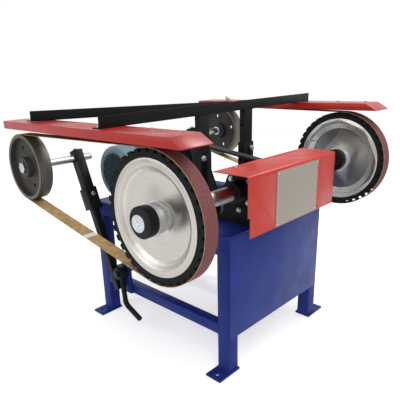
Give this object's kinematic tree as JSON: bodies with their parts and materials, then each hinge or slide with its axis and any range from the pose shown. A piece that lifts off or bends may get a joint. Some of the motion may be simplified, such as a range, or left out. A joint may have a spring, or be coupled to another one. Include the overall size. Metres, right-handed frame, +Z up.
{
  "type": "belt grinder",
  "caption": "Double-ended belt grinder: serrated contact wheels on one motor-driven spindle, tensioned abrasive belts, channel guards and a tube stand.",
  "frame": {"origin": "bottom centre of the bounding box, on the floor", "axes": "+X along the spindle from the left wheel to the right one, +Y to the rear where the idlers are, +Z up"},
  "size_m": [1.248, 1.0783, 0.9295],
  "materials": {
    "stand_paint": "satin blue enamel on welded steel",
    "panel_paint": "satin blue enamel on sheet",
    "guard_paint": "satin red enamel on folded sheet",
    "cover_paint": "satin light red enamel on folded sheet",
    "black_paint": "satin black enamel on steel and cast iron",
    "turned_steel": "turned bright steel",
    "worn_steel": "worn machined iron",
    "zinc": "zinc plated",
    "wheel_aluminium": "turned cast aluminium",
    "tyre_rubber": "serrated rubber dusted with grit",
    "belt_rubber": "black rubberised cord",
    "abrasive_cloth": "brown grit on tan cloth",
    "motor_paint": "grey blue enamel",
    "black_plastic": "moulded"
  },
  "bodies": {
    "base": {"leg_front_left": "stand_paint", "leg_front_right": "stand_paint", "leg_rear_left": "stand_paint", "leg_rear_right": "stand_paint", "stretchers": "stand_paint", "table_rails": "stand_paint", "table_top": "stand_paint", "front_panel": "panel_paint", "pedestal_left": "black_paint", "pedestal_right": "black_paint", "bearing_caps": "black_paint", "spindle_bearings": "turned_steel", "housing_bolts": "zinc", "post_sleeves": "black_paint", "sleeve_clamp_bolts": "zinc", "spindle_cover": "cover_paint", "cover_screws": "zinc", "cover_plate": "zinc", "plate_rivets": "zinc", "motor_body": "motor_paint", "fan_cover": "motor_paint", "terminal_box": "motor_paint", "terminal_box_lid": "motor_paint", "cable_gland": "black_plastic", "motor_rails": "black_paint", "motor_bolts": "zinc", "v_belts": "belt_rubber", "left_abrasive_belt": "abrasive_cloth", "right_abrasive_belt": "abrasive_cloth", "pivot_brackets": "stand_paint", "pivot_bolts": "zinc"},
    "spindle": {"spindle_shaft": "turned_steel", "spindle_pulley": "black_paint", "contact_wheel_left": "wheel_aluminium", "contact_wheel_right": "wheel_aluminium", "serrated_tyre_left": "tyre_rubber", "serrated_tyre_right": "tyre_rubber", "lock_collars": "black_paint"},
    "motor_rotor": {"motor_shaft": "turned_steel", "motor_pulley": "black_paint", "cooling_fan": "black_plastic"},
    "left_arm": {"left_arm_tube": "black_paint", "left_arm_lever": "black_paint", "left_clamp_bolts": "zinc", "left_axle": "turned_steel"},
    "left_idler": {"left_idler_wheel": "worn_steel", "left_idler_bearings": "turned_steel"},
    "right_arm": {"right_arm_tube": "black_paint", "right_arm_lever": "black_paint", "right_clamp_bolts": "zinc", "right_axle": "turned_steel"},
    "right_idler": {"right_idler_wheel": "worn_steel", "right_idler_bearings": "turned_steel"},
    "guards": {"left_guard": "guard_paint", "right_guard": "guard_paint", "front_crossbar": "black_paint", "rear_crossbar": "black_paint", "guard_posts": "black_paint", "guard_screws": "zinc", "guard_tab": "zinc"}
  },
  "joints": [
    {"name": "spindle_spin", "type": "hinge", "parent": "base", "child": "spindle", "pos_m": [0, -0.3368, 0.65], "axis": [1, 0, 0], "continuous": true},
    {"name": "motor_spin", "type": "hinge", "parent": "base", "child": "motor_rotor", "pos_m": [0, 0.2502, 0.652], "axis": [1, 0, 0], "continuous": true},
    {"name": "left_arm_pivot", "type": "hinge", "parent": "base", "child": "left_arm", "pos_m": [-0.327, 0.1732, 0.245], "axis": [1, 0, 0], "range_deg": [0, 6], "deforming": ["left_abrasive_belt"]},
    {"name": "left_idler_spin", "type": "hinge", "parent": "left_arm", "child": "left_idler", "pos_m": [-0.546, 0.4103, 0.71049], "axis": [1, 0, 0], "continuous": true},
    {"name": "right_arm_pivot", "type": "hinge", "parent": "base", "child": "right_arm", "pos_m": [0.327, 0.1732, 0.245], "axis": [1, 0, 0], "range_deg": [0, 6], "deforming": ["right_abrasive_belt"]},
    {"name": "right_idler_spin", "type": "hinge", "parent": "right_arm", "child": "right_idler", "pos_m": [0.546, 0.35608, 0.73434], "axis": [1, 0, 0], "continuous": true},
    {"name": "guard_height", "type": "slide", "parent": "base", "child": "guards", "axis": [0, 0, 1], "range_m": [-0.006, 0.07]}
  ],
  "couplings": [
    {"joint": "motor_spin", "follows": "spindle_spin", "ratio": 0.38667},
    {"joint": "left_idler_spin", "follows": "spindle_spin", "ratio": 1.581},
    {"joint": "right_idler_spin", "follows": "spindle_spin", "ratio": 1.581}
  ]
}
